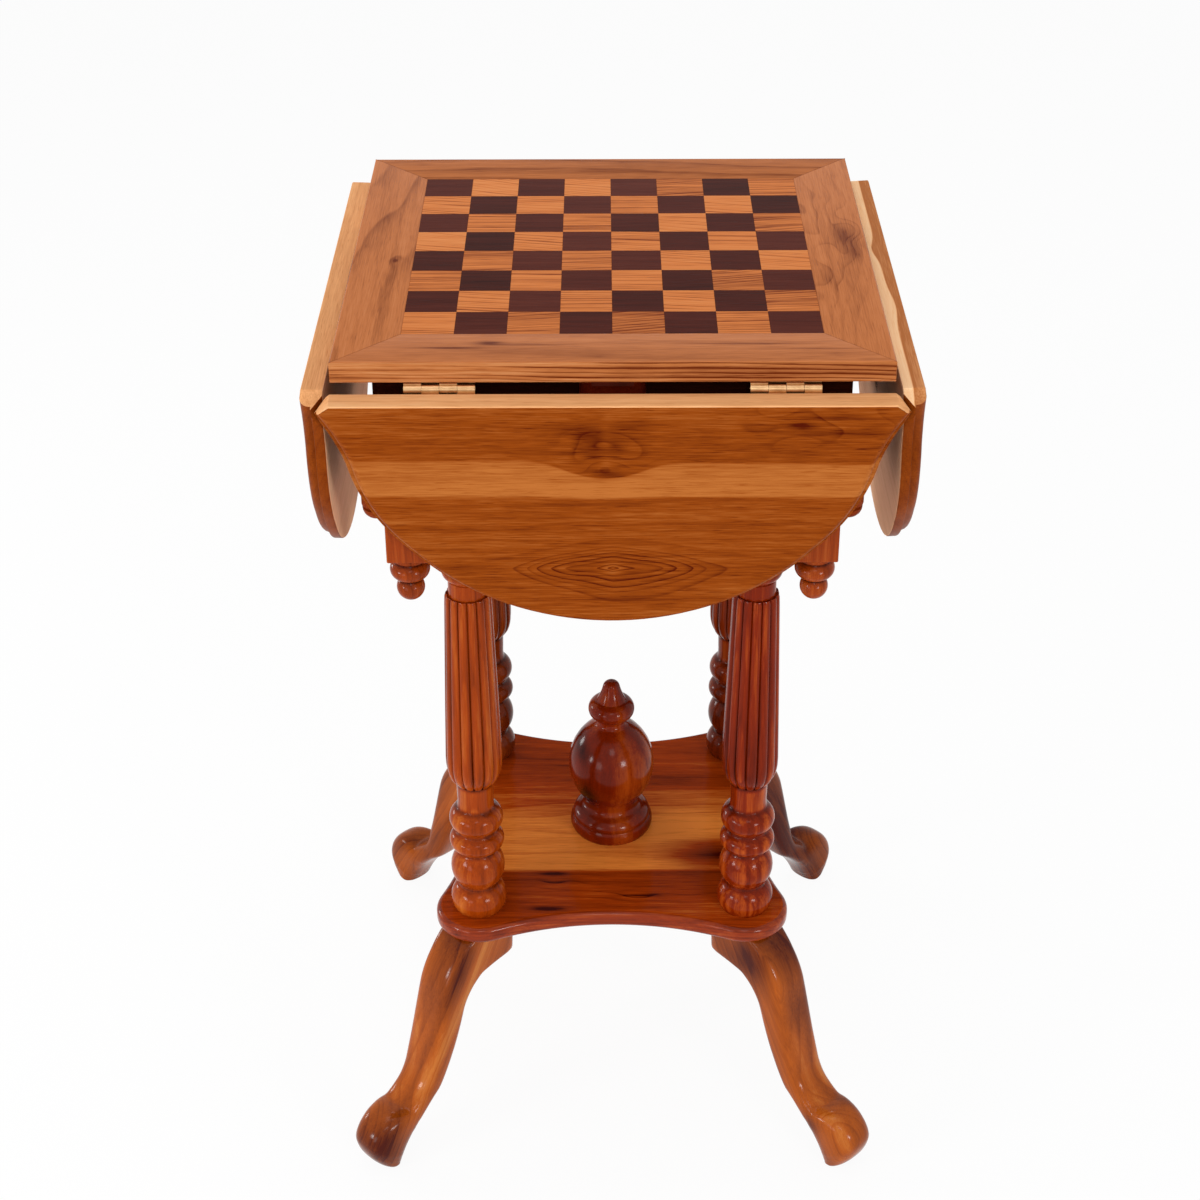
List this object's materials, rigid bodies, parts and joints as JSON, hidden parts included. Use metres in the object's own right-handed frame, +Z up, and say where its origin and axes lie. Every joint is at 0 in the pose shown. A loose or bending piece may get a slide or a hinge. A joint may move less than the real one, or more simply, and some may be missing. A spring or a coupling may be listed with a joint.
{
  "type": "drop-leaf chess table",
  "caption": "Small drop-leaf chess table: inlaid square board in a mitred frame with hinged half-moon leaves, reeded columns, shelf with finial and splayed legs.",
  "frame": {"origin": "on the floor under the middle of the top", "axes": "+Z up, -Y towards the front of the table, +X to its right"},
  "size_m": [0.4634, 0.461, 0.77],
  "materials": {
    "teak": "satin lacquer over teak",
    "dark_teak": "gloss lacquer over red-brown teak",
    "light_inlay": "satin lacquer, fine striped grain",
    "dark_inlay": "satin lacquer, very dark wood",
    "inner_wood": "bare planed wood",
    "brass": "polished",
    "brown_steel": "brown lacquer",
    "felt": "dark wool felt",
    "steel": "plain screw steel"
  },
  "bodies": {
    "table": {"board_core": "inner_wood", "border_back": "teak", "border_front": "teak", "border_left": "teak", "border_right": "teak", "column_back_left": "dark_teak", "column_back_right": "dark_teak", "column_front_left": "dark_teak", "column_front_right": "dark_teak", "corner_block_screws": "steel", "corner_blocks": "inner_wood", "dark_squares": "dark_inlay", "finial": "dark_teak", "frame_screws": "steel", "frieze_back": "teak", "frieze_front": "teak", "frieze_left": "teak", "frieze_right": "teak", "hinge_pins": "brass", "leg_back_left": "teak", "leg_back_right": "teak", "leg_dowels": "inner_wood", "leg_front_left": "teak", "leg_front_right": "teak", "light_squares": "light_inlay", "pendant_back_left": "teak", "pendant_back_right": "teak", "pendant_front_left": "teak", "pendant_front_right": "teak", "shelf": "teak", "slide_guide_back": "dark_teak", "slide_guide_front": "dark_teak", "slide_guide_left": "dark_teak", "slide_guide_right": "dark_teak", "top_hinge_plates": "brass", "top_hinge_screws": "brass", "underframe_board": "teak"},
    "front_leaf": {"leaf_front": "teak", "leaf_front_hinge_plates": "brass", "leaf_front_hinge_screws": "brass", "leaf_front_pad": "felt"},
    "front_support": {"slide_front": "brown_steel"},
    "right_leaf": {"leaf_right": "teak", "leaf_right_hinge_plates": "brass", "leaf_right_hinge_screws": "brass", "leaf_right_pad": "felt"},
    "right_support": {"slide_right": "brown_steel"},
    "back_leaf": {"leaf_back": "teak", "leaf_back_hinge_plates": "brass", "leaf_back_hinge_screws": "brass", "leaf_back_pad": "felt"},
    "back_support": {"slide_back": "brown_steel"},
    "left_leaf": {"leaf_left": "teak", "leaf_left_hinge_plates": "brass", "leaf_left_hinge_screws": "brass", "leaf_left_pad": "felt"},
    "left_support": {"slide_left": "brown_steel"}
  },
  "joints": [
    {"name": "front_leaf_hinge", "type": "hinge", "parent": "table", "child": "front_leaf", "pos_m": [0, -0.201, 0.7498], "axis": [-1, 0, 0], "range_deg": [0, 99]},
    {"name": "right_leaf_hinge", "type": "hinge", "parent": "table", "child": "right_leaf", "pos_m": [0.201, 0, 0.7498], "axis": [0, -1, 0], "range_deg": [0, 86.6]},
    {"name": "back_leaf_hinge", "type": "hinge", "parent": "table", "child": "back_leaf", "pos_m": [0, 0.201, 0.7498], "axis": [1, 0, 0], "range_deg": [0, 90]},
    {"name": "left_leaf_hinge", "type": "hinge", "parent": "table", "child": "left_leaf", "pos_m": [-0.201, 0, 0.7498], "axis": [0, 1, 0], "range_deg": [0, 88.2]},
    {"name": "front_support_slide", "type": "slide", "parent": "table", "child": "front_support", "axis": [0, -1, 0], "range_m": [0, 0.095]},
    {"name": "right_support_slide", "type": "slide", "parent": "table", "child": "right_support", "axis": [1, 0, 0], "range_m": [0, 0.095]},
    {"name": "back_support_slide", "type": "slide", "parent": "table", "child": "back_support", "axis": [0, 1, 0], "range_m": [0, 0.095]},
    {"name": "left_support_slide", "type": "slide", "parent": "table", "child": "left_support", "axis": [-1, 0, 0], "range_m": [0, 0.095]}
  ]
}
